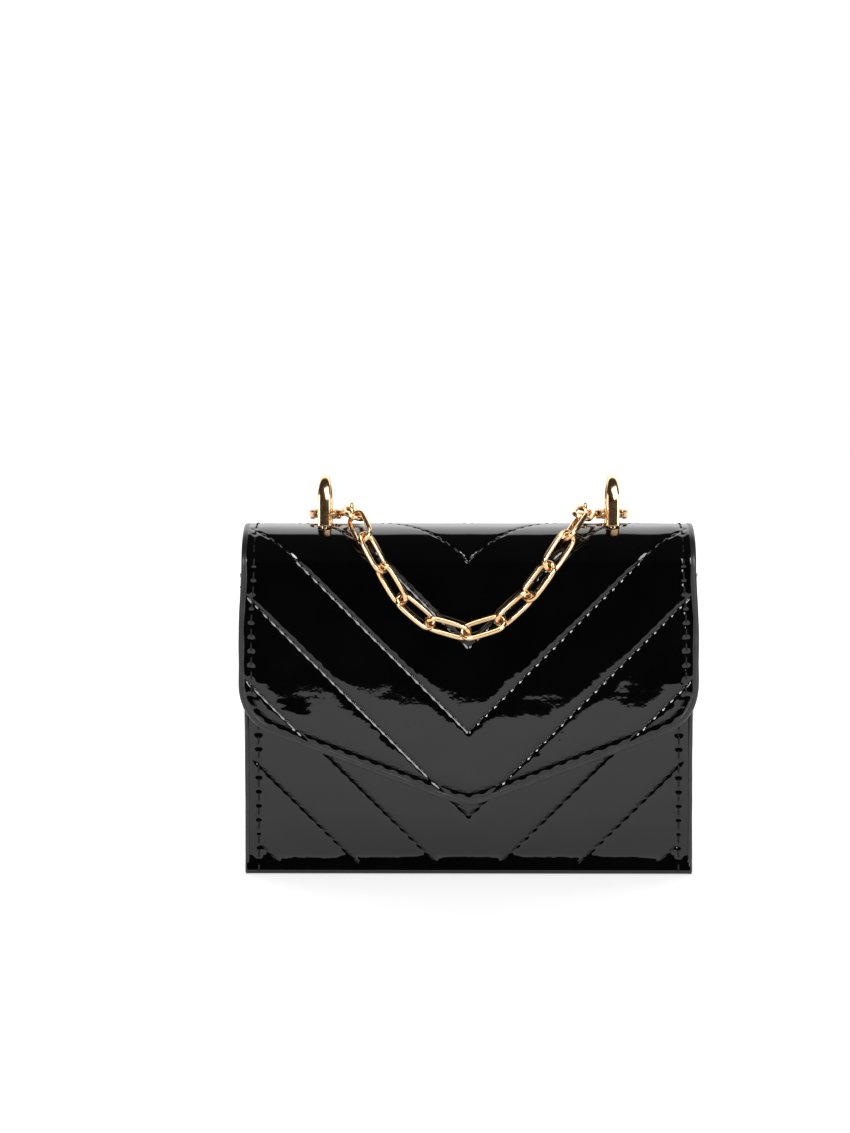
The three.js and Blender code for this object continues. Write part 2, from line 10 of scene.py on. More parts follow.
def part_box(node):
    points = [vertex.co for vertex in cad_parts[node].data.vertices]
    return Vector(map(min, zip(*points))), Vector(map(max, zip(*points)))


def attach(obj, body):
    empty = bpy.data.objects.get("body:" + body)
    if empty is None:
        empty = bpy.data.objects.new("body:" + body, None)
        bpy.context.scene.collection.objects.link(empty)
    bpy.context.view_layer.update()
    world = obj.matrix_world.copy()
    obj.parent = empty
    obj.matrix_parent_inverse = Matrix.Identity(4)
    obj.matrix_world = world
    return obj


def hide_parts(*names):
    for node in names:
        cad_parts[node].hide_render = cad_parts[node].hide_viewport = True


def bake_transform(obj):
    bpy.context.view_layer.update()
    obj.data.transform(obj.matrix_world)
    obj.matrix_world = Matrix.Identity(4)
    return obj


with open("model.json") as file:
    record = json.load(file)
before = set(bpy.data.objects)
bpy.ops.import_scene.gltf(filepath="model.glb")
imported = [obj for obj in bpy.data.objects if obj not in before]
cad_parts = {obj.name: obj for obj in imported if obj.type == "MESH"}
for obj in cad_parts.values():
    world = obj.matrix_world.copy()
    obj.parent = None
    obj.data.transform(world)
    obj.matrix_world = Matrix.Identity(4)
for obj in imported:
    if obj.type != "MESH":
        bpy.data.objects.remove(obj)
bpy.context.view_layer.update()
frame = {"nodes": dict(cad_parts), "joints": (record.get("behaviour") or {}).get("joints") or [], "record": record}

# ---- Measures taken from the frame, in metres ---------------------------------------------------

MM = 0.001
JOINT_AT = {joint["name"]: joint["pos_m"] for joint in frame["joints"]}
FOLD_Y, FOLD_Z = JOINT_AT["flap_hinge"][1:]
flap_lo, flap_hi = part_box("flap_leather")
front_lo, front_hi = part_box("front_panel")
arch_lo, arch_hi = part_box("arch_right")
FACE_Y = flap_lo.y  # outer face of the hanging flap
CREST_Z = flap_hi.z
TIP_Z = flap_lo.z
WIDE_HALF = flap_hi.x
CREST_Y = (arch_lo.y + arch_hi.y) / 2
PANEL_HALF = front_hi.x
FRONT_Y = front_lo.y
BACK_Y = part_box("back_panel")[1].y
MOUTH_Z = front_hi.z
GUSSET_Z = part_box("gusset_left")[1].z

# What the plain CAD solids leave to this script
TOP_HALF = 59.2 * MM  # half width of the flap over its arch
SHOULDER_Z = 81.7 * MM  # where the flap's arch meets its hanging face
CORNER_Z = 41.6 * MM  # where the flap's straight side would meet its slanting edge
CORNER_RUN = 8.5 * MM  # how far in, and how far up, that corner is rounded
CORNER_RISE = 9 * MM
ROUND = 2.6 * MM  # radius under the back
FRONT_ROUND = 0.6 * MM  # radius under the front
FLARE = 0.44 * MM  # how far the front's foot stands out where the leather turns under the base board
LEATHER = 0.8 * MM
FLAP_THICK = 2.4 * MM
CHEVRON_STEP = 22.3 * MM  # between the flap's chevrons, down the sheet
FRONT_CHEVRON_STEP = 20.8 * MM
FRONT_CHEVRON_Z = 15.4 * MM
STITCH = 3.1 * MM
BORDER_STITCH = 3.7 * MM
GRID = 0.34 * MM  # spacing of the leather's points

# ---- Camera -------------------------------------------------------------------------------------

CAMERA_FAR = 0.823
CAMERA_RISE = math.radians(6)
TURN = math.radians(0.79188)  # to the left of the bag's middle
TILT = math.radians(2.42894)  # above the bag's middle
MIDDLE_Z = 46.6 * MM  # height of the bag's middle

camera = bpy.data.objects.new("camera", bpy.data.cameras.new("camera"))
bpy.context.scene.collection.objects.link(camera)
camera.data.lens = 100
camera.data.sensor_width = 36
target = Vector((0, FACE_Y, MIDDLE_Z))
away = Vector((0, -math.cos(CAMERA_RISE), math.sin(CAMERA_RISE)))
camera.location = target + CAMERA_FAR * away
camera.rotation_mode = "QUATERNION"
tilt = Quaternion((1, 0, 0), TILT)
turn = Quaternion((0, 1, 0), TURN)
camera.rotation_quaternion = (-away).to_track_quat("-Z", "Y") @ tilt @ turn
camera.data.clip_start = 0.01
bpy.context.scene.camera = camera

# ---- Materials ----------------------------------------------------------------------------------


def map_range(tree, value, low, high, to_low, to_high):
    """Maps a value linearly from one span to another, and holds it there past the ends."""
    made = tree.nodes.new("ShaderNodeMapRange")
    ends = {"From Min": low, "From Max": high, "To Min": to_low, "To Max": to_high}
    for name, number in ends.items():
        made.inputs[name].default_value = number
    tree.links.new(value, made.inputs["Value"])
    return made.outputs["Result"]


class Shader:
    """A material's node tree, with short ways to add and join nodes."""

    def __init__(self, name):
        self.material = bpy.data.materials.new(name)
        self.material.use_nodes = True
        self.tree = self.material.node_tree
        self.bsdf = self.tree.nodes["Principled BSDF"]

    def set(self, **values):
        for name, value in values.items():
            self.bsdf.inputs[name.replace("_", " ")].default_value = value
        return self

    def node(self, kind, **values):
        made = self.tree.nodes.new(kind)
        for name, value in values.items():
            if hasattr(made, name):
                setattr(made, name, value)
            else:
                made.inputs[name.replace("_", " ")].default_value = value
        return made

    def link(self, out, into):
        self.tree.links.new(out, into)

    def place(self):
        return self.node("ShaderNodeTexCoord").outputs["Object"]

    def noise(self, scale, detail=2.0, roughness=0.5, place=None):
        made = self.node("ShaderNodeTexNoise", Scale=scale, Detail=detail, Roughness=roughness)
        self.link(place or self.place(), made.inputs["Vector"])
        return made.outputs["Fac"]

    def ramp(self, value, low, high, at=(0.0, 1.0)):
        """Maps a value to a colour or grey between two ends."""
        made = self.node("ShaderNodeValToRGB")
        for element, position, colour in zip(made.color_ramp.elements, at, (low, high)):
            element.position = position
            element.color = colour if len(colour) == 4 else (*colour, 1)
        self.link(value, made.inputs["Fac"])
        return made.outputs["Color"]

    def span(self, value, low, high):
        """Maps a value from 0 to 1 to another span."""
        return map_range(self.tree, value, 0.0, 1.0, low, high)

    def bump(self, height, distance, strength=1.0, below=None):
        made = self.node("ShaderNodeBump", Distance=distance, Strength=strength)
        self.link(height, made.inputs["Height"])
        if below is not None:
            self.link(below, made.inputs["Normal"])
        return made.outputs["Normal"]

    def finish(self, normal=None, colour=None, roughness=None, coat_normal=None):
        for value, name in (
            (normal, "Normal"),
            (colour, "Base Color"),
            (roughness, "Roughness"),
            (coat_normal, "Coat Normal"),
        ):
            if value is not None:
                self.link(value, self.bsdf.inputs[name])
        return self.material


def patent_leather():
    s = Shader("patent_leather")
    s.set(Specular_IOR_Level=0.0, Coat_Weight=1.0, Coat_Roughness=0.025, Coat_IOR=1.5)
    tone = s.ramp(s.noise(60, 4), (0.0011, 0.001, 0.0012), (0.0028, 0.0024, 0.0027), (0.35, 0.7))
    rough = s.span(s.noise(220, 3), 0.4, 0.55)
    swell = s.bump(s.noise(95, 1.5), 0.00016, 0.5)
    peel = s.bump(s.noise(900, 1), 0.000008, 0.5, swell)
    return s.finish(peel, tone, rough, peel)


def edge_paint():
    s = Shader("edge_paint")
    s.set(Specular_IOR_Level=0.45, Coat_Weight=0.15, Coat_Roughness=0.25)
    tone = s.ramp(s.noise(350, 4), (0.013, 0.012, 0.0125), (0.034, 0.031, 0.032), (0.3, 0.75))
    rough = s.span(s.noise(500, 3), 0.28, 0.48)
    return s.finish(s.bump(s.noise(700, 3), 0.00006, 0.6), tone, rough)


def thread_material(name, coat):
    s = Shader(name)
    s.set(Specular_IOR_Level=0.25, Coat_Weight=coat, Coat_Roughness=0.16)
    tone = s.ramp(s.noise(900, 3), (0.001, 0.001, 0.001), (0.005, 0.0045, 0.005))
    rough = s.span(s.noise(1500, 2), 0.35, 0.55)
    return s.finish(s.bump(s.noise(2600, 2), 0.00004, 0.5), tone, rough)


def woven_lining():
    s = Shader("woven_lining")
    s.set(Specular_IOR_Level=0.25, Sheen_Weight=0.35, Sheen_Roughness=0.5)
    place = s.place()
    warp = s.node("ShaderNodeTexWave", wave_type="BANDS", bands_direction="X", Scale=300.0)
    warp.inputs["Distortion"].default_value = 0.6
    s.link(place, warp.inputs["Vector"])
    weave = s.node("ShaderNodeMath", operation="MULTIPLY")
    s.link(warp.outputs["Fac"], weave.inputs[0])
    s.link(s.noise(2600, 2, place=place), weave.inputs[1])
    tone = s.ramp(weave.outputs[0], (0.010, 0.0095, 0.010), (0.034, 0.032, 0.034))
    normal = s.bump(weave.outputs[0], 0.00007, 0.8, s.bump(s.noise(40, 3), 0.0004, 0.5))
    return s.finish(normal, tone, s.span(s.noise(120, 3), 0.7, 0.9))


def gold_plate():
    s = Shader("gold_plate")
    s.set(Metallic=1.0, Specular_IOR_Level=0.5)
    tone = s.ramp(s.noise(70, 4), (0.83, 0.53, 0.27), (0.90, 0.62, 0.35), (0.3, 0.7))
    rough = s.span(s.noise(400, 4), 0.1, 0.24)
    return s.finish(s.bump(s.noise(650, 2), 0.00004, 0.35), tone, rough)


def bright_steel():
    s = Shader("bright_steel")
    s.set(Metallic=1.0)
    tone = s.ramp(s.noise(200, 4), (0.42, 0.42, 0.43), (0.6, 0.6, 0.6))
    return s.finish(s.bump(s.noise(900, 3), 0.00003, 0.4), tone, s.span(s.noise(600, 4), 0.25, 0.42))


def fibre_board():
    s = Shader("fibre_board")
    s.set(Specular_IOR_Level=0.2)
    tone = s.ramp(s.noise(500, 6, 0.7), (0.25, 0.21, 0.16), (0.5, 0.44, 0.36))
    return s.finish(s.bump(s.noise(900, 5), 0.0001, 0.6), tone, s.span(s.noise(300, 2), 0.85, 0.98))


def sintered():
    s = Shader("sintered_magnet")
    tone = s.ramp(s.noise(1500, 3), (0.02, 0.02, 0.022), (0.07, 0.07, 0.075))
    return s.finish(s.bump(s.noise(1800, 3), 0.00005, 0.6), tone, s.span(s.noise(500), 0.5, 0.7))


PATENT = patent_leather()
EDGE = edge_paint()
THREAD = thread_material("thread", 0.0)
WAXED = thread_material("waxed_thread", 1.0)
LINING = woven_lining()
GOLD = gold_plate()
STEEL = bright_steel()
BOARD = fibre_board()
MAGNET = sintered()

SLOT_LOOKS = {
    "patent": PATENT,
    "lining": LINING,
    "board": BOARD,
    "gold": GOLD,
    "steel": STEEL,
    "magnet": MAGNET,
}
for part in frame["record"]["subparts"]:
    mesh = frame["nodes"][part["node"]].data
    mesh.materials.clear()
    mesh.materials.append(SLOT_LOOKS[part["material_slot"]])

# ---- Mesh helpers -------------------------------------------------------------------------------


def new_piece(name, points, faces, material, slot):
    mesh = bpy.data.meshes.new(name)
    points = np.ascontiguousarray(points, np.float32).reshape(-1, 3)
    faces = [tuple(int(i) for i in f) for f in faces]
    mesh.from_pydata(points.tolist(), [], faces)
    mesh.validate()
    mesh.polygons.foreach_set("use_smooth", [True] * len(mesh.polygons))
    mesh.materials.append(material)
    made = bpy.data.objects.new(name, mesh)
    bpy.context.scene.collection.objects.link(made)
    return made


def grid_faces(rows, columns, first=0, wrap=False, flip=False):
    """Quads over a grid of points in rows; wrap joins each row's end to its start."""
    i = np.arange(rows - 1)[:, None]
    j = np.arange(columns if wrap else columns - 1)[None, :]
    nxt = (j + 1) % columns
    a, b = i * columns + j, i * columns + nxt
    c, d = (i + 1) * columns + nxt, (i + 1) * columns + j
    quads = np.stack([a, b, c, d], -1).reshape(-1, 4) + first
    return quads[:, ::-1] if flip else quads


def sheet_solid(outer, inner):
    """Points and faces of a closed sheet between two grids of points."""
    rows, columns = outer.shape[:2]
    count = rows * columns
    faces = [grid_faces(rows, columns), grid_faces(rows, columns, first=count, flip=True)]
    rim = list(range(columns))
    rim += [r * columns + columns - 1 for r in range(1, rows)]
    rim += [(rows - 1) * columns + c for c in range(columns - 2, -1, -1)]
    rim += [r * columns for r in range(rows - 2, 0, -1)]
    rim = np.array(rim)
    nxt = np.roll(rim, -1)
    faces.append(np.stack([nxt, rim, rim + count, nxt + count], -1))
    points = np.concatenate([outer.reshape(-1, 3), inner.reshape(-1, 3)])
    return points, np.concatenate(faces)


def sweep(path, normals, widths, depths, sides=16, closed=False, power=1.0):
    """A closed tube of elliptic section along a path: widths lie across the normals, depths along."""
    path = np.asarray(path, float)
    normals = np.asarray(normals, float)
    if closed:
        tangent = np.roll(path, -1, 0) - np.roll(path, 1, 0)
    else:
        tangent = np.gradient(path, axis=0)
    tangent /= np.linalg.norm(tangent, axis=1)[:, None]
    across = np.cross(tangent, normals)
    across /= np.linalg.norm(across, axis=1)[:, None]
    up = np.cross(across, tangent)
    angle = np.linspace(0, 2 * math.pi, sides, endpoint=False)
    c = np.sign(np.cos(angle)) * np.abs(np.cos(angle)) ** power
    s = np.sign(np.sin(angle)) * np.abs(np.sin(angle)) ** power
    widths = np.broadcast_to(widths, len(path))[:, None, None]
    depths = np.broadcast_to(depths, len(path))[:, None, None]
    rings = (
        path[:, None]
        + across[:, None] * c[None, :, None] * widths
        + up[:, None] * s[None, :, None] * depths
    )
    count = len(path)
    if closed:
        rings = np.concatenate([rings, rings[:1]])
        faces = grid_faces(count + 1, sides, wrap=True)
        faces = np.where(faces >= count * sides, faces - count * sides, faces)
        return rings[:-1].reshape(-1, 3), [tuple(f) for f in faces]
    faces = [tuple(f) for f in grid_faces(count, sides, wrap=True)]
    faces.append(tuple(range(sides))[::-1])
    faces.append(tuple((count - 1) * sides + k for k in range(sides)))
    return rings.reshape(-1, 3), faces


def joined(parts):
    """Several (points, faces) as one."""
    points, faces, first = [], [], 0
    for p, f in parts:
        points.append(np.asarray(p).reshape(-1, 3))
        faces += [tuple(int(i) + first for i in face) for face in f]
        first += len(points[-1])
    return np.concatenate(points), faces


def face_outwards(piece):
    """Turns every face of a closed piece to point out."""
    mesh = bmesh.new()
    mesh.from_mesh(piece.data)
    bmesh.ops.recalc_face_normals(mesh, faces=mesh.faces)
    mesh.to_mesh(piece.data)
    mesh.free()
    return piece


def wander(points, scale, seed=0.0):
    """Smooth noise from -1 to 1 at each point."""
    flat = np.asarray(points, float).reshape(-1, 3) / scale
    out = [noise.noise((p[0] + seed, p[1] - seed, p[2] + 0.37 * seed)) for p in flat]
    return np.array(out).reshape(np.asarray(points).shape[:-1])


def coarse_wander(x, s, scale, seed):
    """Smooth noise over a sheet, worked out on a coarse grid and filled in between."""
    step = scale / 4
    gx = np.arange(x.min() - step, x.max() + 2 * step, step)
    gs = np.arange(s.min() - step, s.max() + 2 * step, step)
    table = np.array([[noise.noise((a / scale, b / scale, seed)) for a in gx] for b in gs])
    fx, fs = (x - gx[0]) / step, (s - gs[0]) / step
    ix, is_ = np.clip(fx.astype(int), 0, len(gx) - 2), np.clip(fs.astype(int), 0, len(gs) - 2)
    tx, ts = fx - ix, fs - is_
    tx, ts = tx * tx * (3 - 2 * tx), ts * ts * (3 - 2 * ts)
    low = table[is_, ix] * (1 - tx) + table[is_, ix + 1] * tx
    high = table[is_ + 1, ix] * (1 - tx) + table[is_ + 1, ix + 1] * tx
    return low * (1 - ts) + high * ts


# ---- The outer sheet's path, seen from the side -------------------------------------------------


def smooth(a, b, value):
    """Eases from 0 where the value is a to 1 where it is b."""
    t = np.clip((value - a) / (b - a), 0, 1)
    return t * t * (3 - 2 * t)


# The back panel leans from here, at the ground, to the fold; its round starts a little higher.
BACK_FOOT = (BACK_Y - FOLD_Y * ROUND / FOLD_Z) / (1 - ROUND / FOLD_Z)


def back_y(z):
    """The back panel's outer face at a height."""
    return BACK_FOOT + (FOLD_Y - BACK_FOOT) * z / FOLD_Z


class Profile:
    """A line in YZ with its length and its normal, read by the distance along it."""

    def __init__(self, points, zero):
        self.points = np.array(points, float)
        step = np.linalg.norm(np.diff(self.points, axis=0), axis=1)
        self.along = np.concatenate([[0], np.cumsum(step)])
        start = np.argmin(np.linalg.norm(self.points - np.array(zero), axis=1))
        self.along -= self.along[start]
        tangent = np.gradient(self.points, axis=0)
        tangent /= np.linalg.norm(tangent, axis=1)[:, None]
        self.normals = np.stack([-tangent[:, 1], tangent[:, 0]], -1)

    def at(self, s):
        y = np.interp(s, self.along, self.points[:, 0])
        z = np.interp(s, self.along, self.points[:, 1])
        ny = np.interp(s, self.along, self.normals[:, 0])
        nz = np.interp(s, self.along, self.normals[:, 1])
        length = np.hypot(ny, nz)
        return y, z, ny / length, nz / length


def arc(centre, radii, start, end, steps):
    """Points of an ellipse's arc in YZ, angles in degrees from +Y."""
    t = np.radians(np.linspace(start, end, steps))
    return [(centre[0] + radii[0] * math.cos(a), centre[1] + radii[1] * math.sin(a)) for a in t]


def line(a, b, steps):
    return [tuple(np.array(a) * (1 - t) + np.array(b) * t) for t in np.linspace(0, 1, steps)]


round_back = (back_y(ROUND) - ROUND, ROUND)
wrap_points = arc(round_back, (ROUND, ROUND), -88, 0, 20)[:-1]
wrap_points += line((back_y(ROUND), ROUND), (FOLD_Y, FOLD_Z), 160)[:-1]
wrap_points += arc((CREST_Y, FOLD_Z), (FOLD_Y - CREST_Y, CREST_Z - FOLD_Z), 0, 90, 120)[:-1]
wrap_points += arc((CREST_Y, SHOULDER_Z), (CREST_Y - FACE_Y, CREST_Z - SHOULDER_Z), 90, 180, 120)
wrap_points += line((FACE_Y, SHOULDER_Z), (FACE_Y, 10 * MM), 160)[1:]
WRAP = Profile(wrap_points, (CREST_Y, CREST_Z))
# The normals point out of the bag.
WRAP.normals *= np.sign(WRAP.at(0.0)[3])
S_FOLD = WRAP.along[np.argmin(np.hypot(*(WRAP.points - np.array([FOLD_Y, FOLD_Z])).T))]
S_SHOULDER = WRAP.along[np.argmin(np.hypot(*(WRAP.points - np.array([FACE_Y, SHOULDER_Z])).T))]
S_BACK = WRAP.along[0]


def half_width(s):
    """Half the sheet's width at a distance along it."""
    top = PANEL_HALF + (TOP_HALF - PANEL_HALF) * smooth(S_FOLD - 6 * MM, S_FOLD + 6 * MM, s)
    return top + (WIDE_HALF - TOP_HALF) * smooth(S_SHOULDER, S_SHOULDER + 18 * MM, s)


SLOPE = (CORNER_Z - TIP_Z) / WIDE_HALF
TIP_BLUNT = 3 * MM  # how far from the middle the flap's point is rounded


def slanted_edge(x):
    return TIP_Z + SLOPE * (np.sqrt(x * x + TIP_BLUNT**2) - 0.6 * TIP_BLUNT)


def edge_z(x):
    """Height of the flap's lower edge at a distance from the middle."""
    x = np.minimum(np.abs(x), WIDE_HALF)
    t = 1 - np.sqrt(np.clip((WIDE_HALF - x) / CORNER_RUN, 0, 1))
    low = slanted_edge(WIDE_HALF - CORNER_RUN)
    corner = (1 - t) ** 2 * low + 2 * t * (1 - t) * CORNER_Z + t * t * (CORNER_Z + CORNER_RISE)
    return np.where(x > WIDE_HALF - CORNER_RUN, corner, slanted_edge(x))


def edge_s(x):
    return S_SHOULDER + SHOULDER_Z - edge_z(x)


# ---- Quilting -----------------------------------------------------------------------------------

CHEVRON_S = S_SHOULDER - 1.2 * MM  # the first chevron's point on the flap
DIAGONAL = math.sqrt(0.5)
GROOVE = (0.2 * MM, 0.36 * MM)  # depth and half width of a sewn groove
STITCH_PIT = (0.11 * MM, 0.4 * MM)  # of the pit at each of its stitch holes
SINK = (0.035 * MM, 1.6 * MM)  # of the shallow dip of the leather on both sides
BORDER_GROOVE = (0.06 * MM, 0.32 * MM)
BORDER_SINK = (0.05 * MM, 2.0 * MM)
EDGE_ROLL = (0.3 * MM, 1.0 * MM)  # how far a sheet's edge turns down, and over what distance
PIT = 0.75 * MM  # how wide a border stitch's hole draws the leather in
OUTER_PIT = 0.12 * MM  # and how deep
FRONT_PIT = 0.15 * MM
BORDER = 3.2 * MM  # a border row's distance in from the sheet's edge
QUILTING_FROM = (0.8 * MM, 3.2 * MM)  # distances in from an edge over which the quilting begins
SHOWN = 0.74  # part of a quilting stitch that lies on the sheet; the rest dips into its holes
BORDER_SHOWN = 0.7
ROW_START = 4 * MM  # from the sheet's start under the back to its first stitches


def dent(off, depth, width):
    """A rounded hollow at a distance from its middle."""
    return -depth * np.exp(-((off / width) ** 2))


def chevron_relief(x, s, first, step, seed, deep):
    """Outward height of a sheet sewn in chevrons: a narrow groove with a pit at each stitch hole."""
    phase = (s + np.abs(x) - first) / step
    nearest = np.round(phase)
    off = (phase - nearest) * step * DIAGONAL
    along = (np.abs(x) - s + first + nearest * step) * DIAGONAL
    hole = along - STITCH * np.round(along / STITCH)
    lively = 0.7 + 0.6 * coarse_wander(x, s, 6 * MM, seed)
    pucker = 0.02 * MM * lively * np.cos(2 * math.pi * along / STITCH)
    h = dent(off, *GROOVE) + dent(np.hypot(off, hole), *STITCH_PIT)
    return deep * h + dent(off, *SINK) - pucker * np.exp(-((off / (0.7 * MM)) ** 2))


def pits(x, s, holes):
    """How far into a stitch hole each place is, from 0 to 1."""
    deepest = np.zeros(np.broadcast(x, s).shape)
    for hole_x, hole_s in holes:
        away = (x - hole_x) ** 2 + (s - hole_s) ** 2
        deepest = np.maximum(deepest, np.exp(-away / PIT**2))
    return deepest


def border_relief(inside, x, s, holes, pit_depth):
    """The groove and pits of the row sewn round a sheet's edge, and the edge's roll."""
    off = inside - BORDER
    h = dent(off, *BORDER_GROOVE) + dent(inside, *EDGE_ROLL)
    return h + dent(off, *BORDER_SINK) - pit_depth * pits(x, s, holes)


def waves(x, s, seed, big, small):
    """The slight unevenness of leather laid over a board."""
    broad = coarse_wander(x, s, 24 * MM, seed)
    return big * broad + small * coarse_wander(x, s, 7 * MM, seed + 9)


# ---- Stitching ----------------------------------------------------------------------------------

THREAD_R = 0.24 * MM
BEND = np.linspace(-1, 1, 5)


def sew(surface, centres, headings, length):
    """Stitches on a sheet: each dips into its holes. surface(x, s, lift) gives points and normals."""
    parts = []
    for (x, s), (dx, ds) in zip(centres, headings):
        run = BEND * length / 2
        lift = THREAD_R * (0.45 - 1.5 * BEND**4)
        points, normals = surface(x + dx * run, s + ds * run, lift)
        girth = THREAD_R * (1 - 0.25 * BEND**4)
        parts.append(sweep(points, normals, girth, 0.85 * girth, sides=8))
    return joined(parts)


def row(points, pitch):
    """Middles and headings of the stitches along a line of (x, s) points."""
    points = np.asarray(points, float)
    along = np.concatenate([[0], np.cumsum(np.hypot(*np.diff(points, axis=0).T))])
    count = int(along[-1] / pitch)
    at = (np.arange(count) + 0.5) * along[-1] / count
    middles = np.stack([np.interp(at, along, points[:, k]) for k in (0, 1)], -1)
    ahead = np.stack([np.interp(at + 0.1 * MM, along, points[:, k]) for k in (0, 1)], -1)
    heading = ahead - middles
    return middles, heading / np.linalg.norm(heading, axis=1)[:, None]


def hole_places(middles, headings, pitch):
    """The holes that a row's stitches go into, one before each and one after the last."""
    ends = middles - headings * pitch / 2
    return np.concatenate([ends, [middles[-1] + headings[-1] * pitch / 2]])


def chevron_rows(first, step, span, inside):
    """Stitches of every chevron between two distances along a sheet, where inside(x, s) is true."""
    middles, headings = [], []
    lowest = math.floor((span[0] - first) / step)
    highest = math.ceil((span[1] + WIDE_HALF - first) / step)
    for k in range(lowest, highest + 1):
        for side in (-1, 1):
            for i in range(int(WIDE_HALF / (STITCH * DIAGONAL)) + 1):
                x = (i + 0.5) * STITCH * DIAGONAL
                s = first + k * step - x
                if span[0] < s < span[1] and inside(x, s):
                    middles.append((side * x, s))
                    headings.append((side * DIAGONAL, -DIAGONAL))
    return middles, headings


# ---- Outer sheet: back, over the top and down as the flap ---------------------------------------


def flap_outline(inset, start):
    """The sheet's edge as (x, s) points: up its left side, round the flap's tip and back."""
    corner = WIDE_HALF - CORNER_RUN * np.linspace(0, 1, 26) ** 2
    slant = np.linspace(WIDE_HALF - CORNER_RUN, 0, 70)[1:]
    half = np.concatenate([corner, slant])
    side_s = np.arange(start, edge_s(WIDE_HALF) - 0.5 * MM, 1.2 * MM)
    xs = np.concatenate([half_width(side_s), half])
    ss = np.concatenate([side_s, edge_s(half)])
    xs = np.concatenate([-xs, xs[-2::-1]])
    ss = np.concatenate([ss, ss[-2::-1]])
    tangent = np.stack([np.gradient(xs), np.gradient(ss)], -1)
    tangent /= np.linalg.norm(tangent, axis=1)[:, None]
    return np.stack([xs + inset * tangent[:, 1], ss - inset * tangent[:, 0]], -1)


OUTLINE = flap_outline(0, S_SHOULDER)


def to_outline(x, s):
    """Distance of each point of the sheet from the flap's edge."""
    best = np.full(x.shape, 1.0)
    for (x0, s0), (x1, s1) in zip(OUTLINE[:-1], OUTLINE[1:]):
        dx, ds = x1 - x0, s1 - s0
        size = math.hypot(dx, ds)
        t = np.clip(((x - x0) * dx + (s - s0) * ds) / (size * size), 0, 1)
        best = np.minimum(best, np.hypot(x - x0 - t * dx, s - s0 - t * ds))
    return best


def wrap_inside(x, s):
    """Distance in from the outer sheet's edge."""
    side = half_width(s) - np.abs(x)
    return np.where(s > S_SHOULDER, np.minimum(to_outline(x, s), side), side)


OUTER_BORDER = row(flap_outline(BORDER, S_BACK + ROW_START), BORDER_STITCH)
OUTER_HOLES = hole_places(*OUTER_BORDER, BORDER_STITCH)


def wrap_height(x, s):
    """How far the outer sheet's face stands off its plain path."""
    inside = wrap_inside(x, s)
    h = chevron_relief(x, s, CHEVRON_S, CHEVRON_STEP, 1.0, 1.0) * smooth(*QUILTING_FROM, inside)
    by_border = np.exp(-(((inside - 6.5 * MM) / (3 * MM)) ** 2))
    drawn = 0.11 * MM * coarse_wander(x, s, 8 * MM, 17.0) * by_border
    border = border_relief(inside, x, s, OUTER_HOLES, OUTER_PIT)
    return h + drawn + waves(x, s, 4.0, 0.13 * MM, 0.02 * MM) + border


def wrap_surface(x, s, lift):
    """Points and normals of the outer sheet's face, lifted off it."""
    y, z, ny, nz = WRAP.at(s)
    lift = lift + wrap_height(x, s)
    return np.stack([x, y + ny * lift, z + nz * lift], -1), np.stack([0 * x, ny, nz], -1)


def wrap_point(x, s, depth):
    """Points and normals a plain depth below the outer sheet's face."""
    y, z, ny, nz = WRAP.at(s)
    return np.stack([x, y - ny * depth, z - nz * depth], -1), np.stack([0 * x, ny, nz], -1)


def wrap_columns(step):
    """Fractions of the half width, closer together where the flap's corners turn."""
    run = CORNER_RUN / WIDE_HALF
    middle = np.linspace(-(1 - run), 1 - run, 2 * int((1 - run) * WIDE_HALF / step) + 1)
    side = 1 - run * (1 - np.linspace(0, 1, int(1.6 * CORNER_RUN / step))[1:]) ** 2
    return np.concatenate([-side[::-1], middle, side])


def wrap_grid(step, back_step, start, inset=0.0):
    """Grid of (x, s) over the outer sheet, its last row on the flap's edge."""
    u = wrap_columns(step)
    turn = S_FOLD + 4 * MM
    back = np.arange(start, turn, back_step)
    over = np.arange(turn, S_SHOULDER, step)
    upper = np.concatenate([back[:-1], over, [S_SHOULDER]])
    lower = np.linspace(0, 1, int((edge_s(0.0) - S_SHOULDER) / step))[1:]
    x_top = u[None, :] * (half_width(upper)[:, None] - inset)
    s_top = np.repeat(upper[:, None], len(u), 1)
    end = edge_s(u * WIDE_HALF) - inset
    s_low = S_SHOULDER + lower[:, None] * (end - S_SHOULDER)[None, :]
    x_low = u[None, :] * (half_width(s_low) - inset)
    return np.concatenate([x_top, x_low]), np.concatenate([s_top, s_low])


def bend_with_flap(piece):
    """The sheet runs from the body over the fold to the flap; this only bakes its placement into its points and
    ties it to no body.
    """
    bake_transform(piece)


def outer_leather():
    x, s = wrap_grid(GRID, 1.6 * GRID, S_BACK)
    outer, _ = wrap_surface(x, s, 0)
    inner, _ = wrap_point(x, s, LEATHER)
    piece = new_piece("outer_leather", *sheet_solid(outer, inner), PATENT, "patent")
    bend_with_flap(face_outwards(piece))
    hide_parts("back_panel", "flap_leather")


def outer_stitching():
    def room(x, s):
        return float(wrap_inside(np.array([x]), np.array([s]))[0]) > BORDER + 0.6 * MM

    bottom = S_BACK + ROW_START
    centres, headings = chevron_rows(
        CHEVRON_S, CHEVRON_STEP, (bottom, edge_s(0.0)), lambda x, s: s < edge_s(x) and room(x, s)
    )
    quilting = sew(wrap_surface, centres, headings, SHOWN * STITCH)
    border = sew(wrap_surface, *OUTER_BORDER, BORDER_SHOWN * BORDER_STITCH)
    rows = (("outer_quilting_thread", quilting, WAXED), ("outer_border_thread", border, THREAD))
    for name, part, look in rows:
        bend_with_flap(face_outwards(new_piece(name, *part, look, "patent")))


